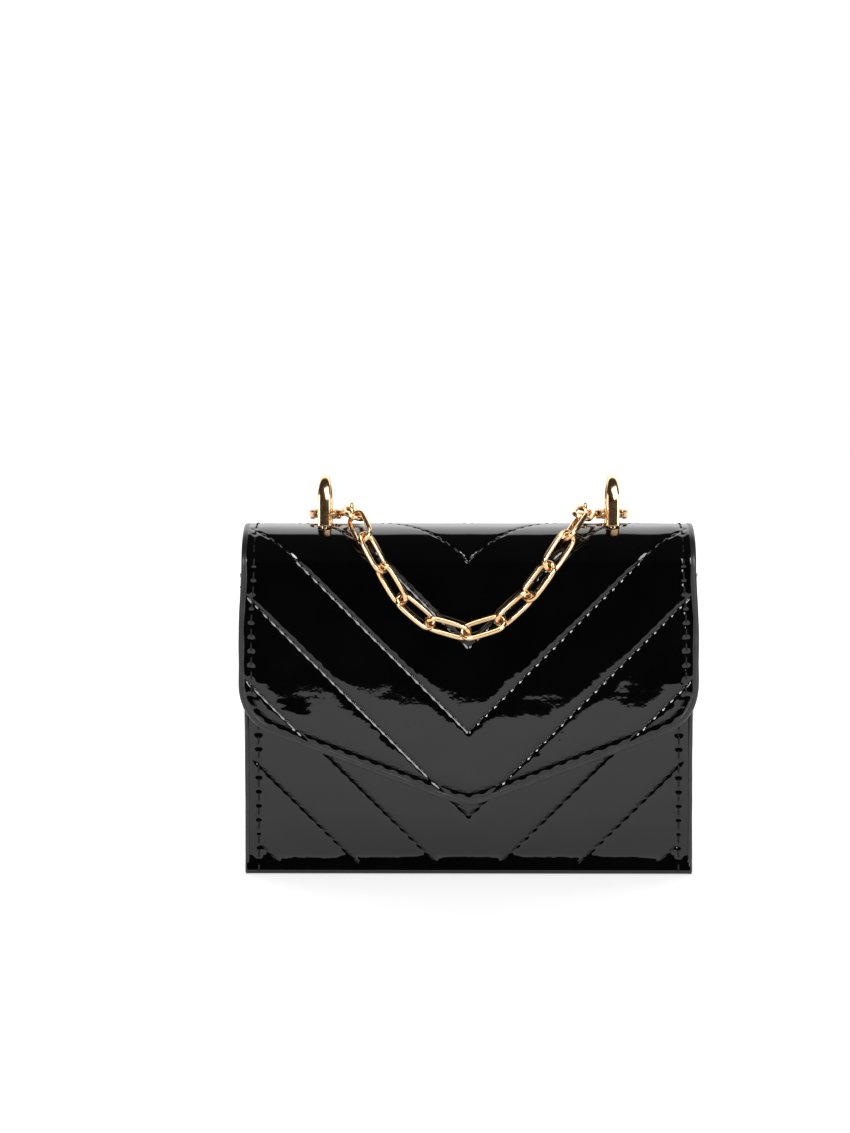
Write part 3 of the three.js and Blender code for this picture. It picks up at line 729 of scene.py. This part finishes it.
def outer_edge():
    """The painted edge that closes the layers of the flap and the sides of the back."""
    x, s = flap_outline(0.8 * MM, S_BACK + 0.5 * MM).T
    thick = 0.55 * MM + 0.7 * MM * smooth(S_FOLD, S_FOLD + 8 * MM, s)
    path, normals = wrap_point(x, s, thick - 0.02 * MM)
    uneven = 1 + 0.08 * wander(path, 5 * MM, 3.0)
    part = sweep(path, normals, 0.98 * MM * uneven, thick * uneven, sides=24, power=0.6)
    bend_with_flap(face_outwards(new_piece("outer_painted_edge", *part, EDGE, "patent")))


def flap_lining():
    x, s = wrap_grid(1.5 * MM, 1.5 * MM, S_FOLD + 1.5 * MM, inset=1.1 * MM)
    ripple = 0.12 * MM * coarse_wander(x, s, 12 * MM, 21.0)
    outer, _ = wrap_point(x, s, 1.9 * MM)
    inner, _ = wrap_point(x, s, FLAP_THICK + ripple)
    piece = new_piece("flap_cloth_lining", *sheet_solid(outer, inner), LINING, "lining")
    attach(face_outwards(piece), "flap")
    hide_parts("flap_lining")


outer_leather()
outer_stitching()
outer_edge()
flap_lining()

# ---- Front panel and base -----------------------------------------------------------------------

front_centre = (FRONT_Y + FRONT_ROUND, FRONT_ROUND)
front_points = line((FRONT_Y, MOUTH_Z), (FRONT_Y, FRONT_ROUND), 160)[:-1]
front_points += arc(front_centre, (FRONT_ROUND, FRONT_ROUND), 180, 270, 30)[:-1]
front_points += line((FRONT_Y + FRONT_ROUND, 0), (round_back[0], 0), 60)
FRONT = Profile(front_points, (FRONT_Y, FRONT_ROUND))
FRONT.normals *= -np.sign(FRONT.at(-30 * MM)[2])
S_FRONT_TOP, S_FRONT_END = FRONT.along[0], FRONT.along[-1]
FRONT_CHEVRON_S = FRONT_ROUND - FRONT_CHEVRON_Z
FRONT_GROOVES = 0.42  # the front's grooves are this much of the flap's depth
FLARE_RISE = 4.8 * MM  # how far up the front the flare of its foot reaches


def front_border_row():
    """Stitches up one side of the front panel, along its mouth and down the other side."""
    edge = PANEL_HALF - BORDER
    top, low = S_FRONT_TOP + BORDER, 0.8 * MM
    corners = [(-edge, low), (-edge, top), (edge, top), (edge, low)]
    path = np.concatenate([line(a, b, 60) for a, b in zip(corners[:-1], corners[1:])])
    return row(path, BORDER_STITCH)


FRONT_BORDER = front_border_row()
FRONT_HOLES = hole_places(*FRONT_BORDER, BORDER_STITCH)


def front_height(x, s):
    """How far the front's face stands off its plain path."""
    inside = np.minimum(PANEL_HALF - np.abs(x), s - S_FRONT_TOP)
    above_base = smooth(-0.6 * MM, -5 * MM, s)
    flare = FLARE * np.clip((s + FLARE_RISE) / FLARE_RISE, 0, 1) ** 1.3 * smooth(1.0 * MM, 0, s)
    keep = smooth(*QUILTING_FROM, inside) * above_base
    h = chevron_relief(x, s, FRONT_CHEVRON_S, FRONT_CHEVRON_STEP, 31.0, FRONT_GROOVES) * keep
    h = h + border_relief(inside, x, s, FRONT_HOLES, FRONT_PIT) * above_base
    return h + flare + waves(x, s, 14.0, 0.05 * MM, 0.012 * MM) * above_base


def front_surface(x, s, lift):
    """Points and normals of the front's face, lifted off it."""
    y, z, ny, nz = FRONT.at(s)
    lift = lift + front_height(x, s)
    return np.stack([x, y + ny * lift, z + nz * lift], -1), np.stack([0 * x, ny, nz], -1)


def front_leather():
    s = np.concatenate(
        [np.arange(S_FRONT_TOP, 4.5 * MM, GRID), np.linspace(4.8 * MM, S_FRONT_END, 40)]
    )
    x = np.linspace(-PANEL_HALF, PANEL_HALF, int(2 * PANEL_HALF / GRID))
    x, s = np.meshgrid(x, s)
    outer, _ = front_surface(x, s, 0)
    y, z, ny, nz = FRONT.at(s)
    inner = np.stack([x, y - ny * LEATHER, z - nz * LEATHER], -1)
    piece = new_piece("front_leather", *sheet_solid(outer, inner), PATENT, "patent")
    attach(face_outwards(piece), "body")
    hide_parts("front_panel", "base_panel")


def front_stitching():
    reach = PANEL_HALF - BORDER - 0.8 * MM
    span = (S_FRONT_TOP + BORDER + 0.8 * MM, -1.8 * MM)
    rows = chevron_rows(FRONT_CHEVRON_S, FRONT_CHEVRON_STEP, span, lambda x, s: x < reach)
    quilting = sew(front_surface, *rows, SHOWN * STITCH)
    border = sew(front_surface, *FRONT_BORDER, BORDER_SHOWN * BORDER_STITCH)
    for name, part in (("front_quilting_thread", quilting), ("front_border_thread", border)):
        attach(face_outwards(new_piece(name, *part, THREAD, "patent")), "body")


def front_edges():
    """The painted edges at the front panel's left and right sides."""
    s = np.arange(S_FRONT_TOP, 1.8 * MM, 0.7 * MM)
    for side, name in ((-1, "left"), (1, "right")):
        y, z, ny, nz = FRONT.at(s)
        x = side * (PANEL_HALF - 0.15 * MM) + 0 * s
        path = np.stack([x, y - 0.5 * MM * ny, z - 0.5 * MM * nz], -1)
        normals = np.stack([0 * s, ny, nz], -1)
        uneven = 1 + 0.1 * wander(path, 5 * MM, 7.0)
        part = sweep(path, normals, 0.6 * MM * uneven, 0.62 * MM * uneven, sides=16, power=0.7)
        piece = new_piece("front_painted_edge_" + name, *part, EDGE, "patent")
        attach(face_outwards(piece), "body")


front_leather()
front_stitching()
front_edges()

# ---- Gussets ------------------------------------------------------------------------------------

GUSSET_X = PANEL_HALF - 0.2 * MM
GUSSET_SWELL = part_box("gusset_right")[1].x - GUSSET_X
GUSSET_FOOT = 1.1 * MM
TUCK = 1.2 * MM  # how far the gussets' edges lie in behind the front and back
HEM_STITCHES = 10


def foot_in(z, radius):
    """How far a round under the base draws in at a height."""
    low = np.clip(radius - z, 0, radius)
    return radius - np.sqrt(radius**2 - low**2)


def swell_at(u, z):
    """How far a gusset swells out: most of all in its middle, near its open top."""
    t = np.clip(((z - GUSSET_FOOT) / (GUSSET_Z - GUSSET_FOOT) + 0.2) / 0.9, 0, 1)
    return GUSSET_SWELL * t * t * (3 - 2 * t) * np.sin(math.pi * u)


def gusset_at(side, u, z, depth=0.0):
    """A point of a gusset: u runs from the front panel to the back, z is the height."""
    swell = swell_at(u, z)
    front = FRONT_Y + TUCK + foot_in(z, FRONT_ROUND)
    y = front + (back_y(z) - TUCK - foot_in(z, ROUND) - front) * u
    soft = np.sin(math.pi * u) * smooth(GUSSET_FOOT, 24 * MM, z)
    fold = 0.5 * np.exp(-(((u - 0.5) / 0.06) ** 2)) * smooth(15 * MM, GUSSET_Z, z)
    ripple = 0.4 * MM * (coarse_wander(y, z, 15 * MM, 40.0 + side) - 0.6 - fold)
    hem = dent(GUSSET_Z - z - BORDER, 0.16 * MM, 0.5 * MM)
    return np.stack([side * (GUSSET_X + swell + ripple * soft + hem - depth), y, z], -1)


def gussets():
    for side, name in ((-1, "left"), (1, "right")):
        u, z = np.meshgrid(np.linspace(0, 1, 70), np.linspace(GUSSET_FOOT, GUSSET_Z, 120))
        outer, inner = gusset_at(side, u, z), gusset_at(side, u, z, LEATHER)
        piece = new_piece("gusset_leather_" + name, *sheet_solid(outer, inner), PATENT, "patent")
        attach(face_outwards(piece), "body")
        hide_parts("gusset_" + name)
        u = np.linspace(0.01, 0.99, 90)
        top = gusset_at(side, u, GUSSET_Z + 0 * u, LEATHER / 2)
        normals = np.tile([side, 0, 0], (len(u), 1))
        bead = sweep(top, normals, 0.5 * MM, 0.55 * MM, sides=16, power=0.75)
        piece = new_piece("gusset_painted_edge_" + name, *bead, EDGE, "patent")
        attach(face_outwards(piece), "body")
        hem = []
        for middle in (np.arange(HEM_STITCHES) + 0.5) / HEM_STITCHES:
            run = middle + BEND * 0.34 / HEM_STITCHES
            lift = THREAD_R * (0.35 - 1.5 * BEND**4)
            height = GUSSET_Z - BORDER + 0 * run
            points = gusset_at(side, run, height, -lift)
            hem.append(sweep(points, normals[:5], THREAD_R, 0.85 * THREAD_R, sides=8))
        piece = new_piece("gusset_thread_" + name, *joined(hem), THREAD, "patent")
        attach(face_outwards(piece), "body")


gussets()

# ---- Pocket lining ------------------------------------------------------------------------------

CLOTH = 0.5 * MM
FLOOR_ROWS, WALL_ROWS = 24, 60
lining_lo, lining_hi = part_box("body_lining")


def pocket_ring(z, inward, size=1.0):
    """A rounded rectangle round the pocket at a height."""
    front, rear = lining_lo.y + inward, back_y(z) - (back_y(lining_lo.z) - lining_hi.y) - inward
    half_x, half_y = lining_hi.x - inward, (rear - front) / 2
    t = np.linspace(0, 2 * math.pi, 220, endpoint=False)
    power = 0.16  # nearly square corners
    x = half_x * size * np.sign(np.cos(t)) * np.abs(np.cos(t)) ** power
    y = half_y * size * np.sign(np.sin(t)) * np.abs(np.sin(t)) ** power
    u = np.clip((y / half_y + 1) / 2, 0, 1)
    x = x + np.sign(x) * 0.85 * swell_at(u, z) * (np.abs(x) / half_x) ** 8
    return np.stack([x, (front + rear) / 2 + y, z + 0 * t], -1)


def pocket_lining():
    floor, top = lining_lo.z, lining_hi.z
    sizes = np.linspace(0.05, 1, FLOOR_ROWS)
    rows = [pocket_ring(floor, 0, size) for size in sizes]
    rows += [pocket_ring(z, 0) for z in np.linspace(floor, top, WALL_ROWS)[1:]]
    rows += [pocket_ring(z, CLOTH) for z in np.linspace(top, floor + CLOTH, WALL_ROWS)]
    rows += [pocket_ring(floor + CLOTH, CLOTH, size) for size in sizes[::-1][1:]]
    rings = np.array(rows)
    inside = slice(FLOOR_ROWS + WALL_ROWS - 1, None)
    crease = 0.35 * MM * wander(rings[inside], 14 * MM, 60.0)
    shade = np.clip((rings[inside][..., 2] - floor) / (12 * MM), 0, 1)
    centre = np.array([0, (lining_lo.y + lining_hi.y) / 2, 0])
    inwards = (centre - rings[inside]) * np.array([1, 1, 0])
    inwards /= np.linalg.norm(inwards, axis=-1)[..., None] + 1e-9
    rings[inside] += inwards * (np.abs(crease) * shade)[..., None]
    count = rings.shape[1]
    faces = [tuple(f) for f in grid_faces(len(rings), count, wrap=True)]
    faces.append(tuple(range(count))[::-1])
    faces.append(tuple((len(rings) - 1) * count + k for k in range(count)))
    piece = new_piece("pocket_cloth_lining", rings, faces, LINING, "lining")
    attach(face_outwards(piece), "body")
    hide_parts("body_lining")


def mouth_bindings():
    """Strips that close the layers along the pocket's front and back."""
    reach = lining_hi.x - 1.5 * MM
    x = np.linspace(-reach, reach, 120)
    z = lining_hi.z + 0.75 * MM
    inner, outer = lining_lo.y + 1.1 * CLOTH, FRONT_Y + LEATHER - 0.1 * MM
    rear = back_y(z) - LEATHER
    rear_inner = back_y(z) - (inner - FRONT_Y)
    for name, a, b in (("front", outer, inner), ("back", rear_inner, rear)):
        uneven = 0.06 * MM * wander(np.stack([x, 0 * x + a, 0 * x], -1), 9 * MM, 70.0)
        path = np.stack([x, (a + b) / 2 + 0 * x, z + uneven], -1)
        normals = np.tile([0.0, 0, 1], (len(x), 1))
        strip = sweep(path, normals, (b - a) / 2, 0.75 * MM, sides=24, power=0.6)
        piece = new_piece("mouth_binding_" + name, *strip, PATENT, "patent")
        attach(face_outwards(piece), "body")


pocket_lining()
mouth_bindings()

# ---- Metal --------------------------------------------------------------------------------------

LINKS = 12
ARCH_THICK = 2 * MM
ARCH_FOOT = 91.5 * MM  # where the bands meet the leather
ARCH_TAPER = 0.5 * MM  # how much narrower each side of a band is at its top
POST_R = 0.9 * MM
POST_REACH = 1 * MM  # how far a post goes up into its leg


def node_points(node):
    mesh = frame["nodes"][node].data
    points = np.empty(3 * len(mesh.vertices))
    mesh.vertices.foreach_get("co", points)
    return points.reshape(-1, 3)


def cast(node, name, body, voxel, passes):
    """A polished casting: the plain solid with its corners worn round by a number of passes."""
    mesh = frame["nodes"][node].data.copy()
    made = bpy.data.objects.new(name, mesh)
    mesh.name = name
    bpy.context.scene.collection.objects.link(made)
    remesh = made.modifiers.new("remesh", "REMESH")
    remesh.mode = "VOXEL"
    remesh.voxel_size = voxel
    soften = made.modifiers.new("soften", "SMOOTH")
    soften.factor = 0.5
    soften.iterations = passes
    bpy.context.view_layer.update()
    done = bpy.data.meshes.new_from_object(made.evaluated_get(bpy.context.evaluated_depsgraph_get()))
    made.modifiers.clear()
    made.data = done
    done.materials.clear()
    done.materials.append(GOLD)
    done.polygons.foreach_set("use_smooth", [True] * len(done.polygons))
    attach(made, body)
    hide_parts(node)


def wire_loop(node, name, body, steps, sides):
    """A round wire bent to a loop where a plain loop lies."""
    points = node_points(node)
    centre = points.mean(0)
    _, _, axes = np.linalg.svd(points - centre, full_matrices=False)
    half = [np.ptp((points - centre) @ a) / 2 for a in axes]
    wire = half[2]
    bend = half[1] - wire
    straight = max(half[0] - half[1], 0)
    turn = np.linspace(0, 2 * math.pi, steps, endpoint=False)
    bow = 0.25 * MM * np.sin(turn) * np.abs(np.sin(turn)) ** 3 * min(straight / bend, 1)
    path = centre + np.outer(bend * np.cos(turn) + straight * np.tanh(4 * np.cos(turn)), axes[0])
    path = path + np.outer(bend * np.sin(turn) + bow, axes[1])
    normals = np.tile(axes[2], (steps, 1))
    part = sweep(path, normals, wire, wire, sides=sides, closed=True)
    piece = new_piece(name, *part, GOLD, "gold")
    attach(face_outwards(piece), body)
    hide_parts(node)


def chain():
    for i in range(LINKS):
        node = "link_%02d" % (i + 1)
        wire_loop(node, "chain_" + node, "handle", 72, 18)
    for name in ("left", "right"):
        wire_loop("jump_ring_" + name, "chain_jump_ring_" + name, "handle", 60, 16)


def arches():
    """Oval bands bent to an arch, each on two posts that go down through the flap."""
    for name in ("left", "right"):
        lo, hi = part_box("arch_" + name)
        x = (lo.x + hi.x) / 2
        spread = (hi.y - lo.y - ARCH_THICK) / 2
        centre_z = hi.z - (hi.y - lo.y) / 2
        legs = np.linspace(ARCH_FOOT, centre_z, 24)[:-1]
        turn = np.linspace(0, math.pi, 48)
        y = np.concatenate([-spread + 0 * legs, -spread * np.cos(turn), spread + 0 * legs])
        z = np.concatenate([legs, centre_z + spread * np.sin(turn), legs[::-1]])
        path = np.stack([x + 0 * y, CREST_Y + y, z], -1)
        outwards = np.stack([0 * y, y, np.maximum(z - centre_z, 0)], -1)
        outwards /= np.linalg.norm(outwards, axis=1)[:, None]
        width = (hi.x - lo.x) / 2 - ARCH_TAPER * smooth(centre_z + 1.5 * MM, hi.z, z)
        width = width * (1 + 0.06 * smooth(ARCH_FOOT + 1.4 * MM, ARCH_FOOT, z))
        parts = [sweep(path, outwards, width, ARCH_THICK / 2, sides=32, power=0.9)]
        for leg in (-spread, spread):
            post = np.linspace(lo.z, ARCH_FOOT + POST_REACH, 8)
            upright = np.stack([x + 0 * post, CREST_Y + leg + 0 * post, post], -1)
            sideways = np.tile([1.0, 0, 0], (8, 1))
            parts.append(sweep(upright, sideways, POST_R, POST_R, sides=20))
        piece = new_piece("arch_band_" + name, *joined(parts), GOLD, "gold")
        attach(face_outwards(piece), "flap")
        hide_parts("arch_" + name)


def clasps():
    for side in ("left", "right"):
        cast("clasp_hook_" + side, "claw_hook_" + side, "flap", 0.11 * MM, 45)
        cast("clasp_pin_" + side, "claw_pin_" + side, "flap", 0.07 * MM, 6)
        cast("clasp_trigger_" + side, "claw_trigger_" + side, "trigger_" + side, 0.09 * MM, 14)
        cast("clasp_swivel_" + side, "claw_swivel_" + side, "handle", 0.1 * MM, 14)


def snap():
    cast("snap_socket", "snap_socket_cap", "body", 0.12 * MM, 3)
    cast("snap_stud", "snap_stud_cap", "flap", 0.12 * MM, 3)


chain()
arches()
clasps()
snap()

# ---- Light, floor and finish --------------------------------------------------------------------

# The studio as the object mirrors it: the first two are spans of a direction's Y and Z
BACKDROP_EDGE = (0.5, 0.56)
BRIGHTENING = (0.12, 0.4)
BRIGHTEST = 2.3
DARK_SIDE = 0.02
FLOOR_FRONT = -0.47  # where the table ends towards the viewer; beyond it the object mirrors dark
FLOOR_FAR = 4
FLOOR_GAP = 0.0002
GLOW_REACH = (0.1, 0.7)
GLOW_NEAR = 0.75


def studio():
    """A white backdrop behind the object; the side of the viewer, and overhead, is dark."""
    world = bpy.data.worlds.new("studio")
    bpy.context.scene.world = world
    world.use_nodes = True
    tree = world.node_tree
    tree.nodes.clear()
    out = tree.nodes.new("ShaderNodeOutputWorld")
    seen = tree.nodes.new("ShaderNodeBackground")
    seen.inputs["Color"].default_value = (1, 1, 1, 1)
    lit = tree.nodes.new("ShaderNodeBackground")
    place = tree.nodes.new("ShaderNodeTexCoord")
    split = tree.nodes.new("ShaderNodeSeparateXYZ")
    tree.links.new(place.outputs["Generated"], split.inputs[0])
    backdrop = map_range(tree, split.outputs["Y"], *BACKDROP_EDGE, DARK_SIDE, 1.0)
    upward = map_range(tree, split.outputs["Z"], *BRIGHTENING, 1.0, BRIGHTEST)
    both = tree.nodes.new("ShaderNodeMath")
    both.operation = "MULTIPLY"
    tree.links.new(backdrop, both.inputs[0])
    tree.links.new(upward, both.inputs[1])
    tree.links.new(both.outputs[0], lit.inputs["Strength"])
    path = tree.nodes.new("ShaderNodeLightPath")
    mix = tree.nodes.new("ShaderNodeMixShader")
    tree.links.new(path.outputs["Is Camera Ray"], mix.inputs[0])
    tree.links.new(lit.outputs[0], mix.inputs[1])
    tree.links.new(seen.outputs[0], mix.inputs[2])
    tree.links.new(mix.outputs[0], out.inputs["Surface"])


def area_light(name, place, size, power, only, glossy=True, diffuse=True):
    """A soft box that faces the object and lights only the given pieces."""
    light = bpy.data.lights.new(name, "AREA")
    light.shape = "RECTANGLE"
    light.size, light.size_y = size
    light.energy = power
    made = bpy.data.objects.new(name, light)
    made.location = place
    aim = Vector((0, 0, 0.05)) - Vector(place)
    made.rotation_euler = aim.to_track_quat("-Z", "Y").to_euler()
    made.visible_glossy = glossy
    made.visible_diffuse = diffuse
    made.light_linking.receiver_collection = bpy.data.collections.new(name)
    for piece in only:
        made.light_linking.receiver_collection.objects.link(piece)
    bpy.context.scene.collection.objects.link(made)


def floor():
    """A white table, lit round the object and glowing further off so that it has no far edge."""
    s = Shader("floor_white")
    s.set(Specular_IOR_Level=0.0)
    tone = s.ramp(s.noise(3, 3), (0.80, 0.80, 0.80), (0.83, 0.83, 0.83))
    s.bsdf.inputs["Emission Color"].default_value = (1, 1, 1, 1)
    away = s.node("ShaderNodeVectorMath", operation="LENGTH")
    s.link(s.place(), away.inputs[0])
    glow = map_range(s.tree, away.outputs["Value"], *GLOW_REACH, GLOW_NEAR, 1.0)
    s.link(glow, s.bsdf.inputs["Emission Strength"])
    material = s.finish(colour=tone, roughness=s.span(s.noise(20), 0.6, 0.7))
    mesh = bpy.data.meshes.new("floor")
    near, far = FLOOR_FRONT, FLOOR_FAR
    corners = [(-far, near, 0), (far, near, 0), (far, far, 0), (-far, far, 0)]
    mesh.from_pydata(corners, [], [(0, 1, 2, 3)])
    mesh.materials.append(material)
    made = bpy.data.objects.new("floor", mesh)
    made.location.z = -FLOOR_GAP
    bpy.context.scene.collection.objects.link(made)
    return made


studio()
ground = floor()
pieces = [o for o in bpy.data.objects if o.type == "MESH" and o != ground]
arch_bands = [o for o in pieces if o.name.startswith("arch_band")]
others = [o for o in pieces if o not in arch_bands]
metal = [o for o in others if GOLD in list(o.data.materials)]

OVERHEAD = (0, -0.15, 1.1)
area_light("table_light", OVERHEAD, (1.4, 1.2), 4, glossy=False, only=[ground])
area_light("soft_light", OVERHEAD, (1.4, 1.2), 10, glossy=False, only=pieces)
# What the patent leather, the metal and the arches mirror
for name, place, size, power, lit in (
    ("left_light", (-0.55, -1.0, 0.45), (0.28, 0.34), 6, others),
    ("right_light", (0.55, -1.0, 0.45), (0.5, 0.56), 9, others),
    ("metal_light", (0, -1.3, 0.6), (1.6, 1.3), 3.6, metal),
    ("crown_light", (0, -0.35, 1.2), (0.9, 0.8), 9, metal),
    ("arch_light", (0.5, -0.75, 0.75), (1.0, 1.1), 14, arch_bands),
    ("arch_left_light", (-0.9, -0.3, 0.12), (0.5, 0.6), 4, arch_bands),
    ("arch_right_light", (0.9, -0.3, 0.12), (0.5, 0.6), 4, arch_bands),
):
    area_light(name, place, size, power, diffuse=False, only=lit)
bpy.context.scene.view_settings.view_transform = "Standard"
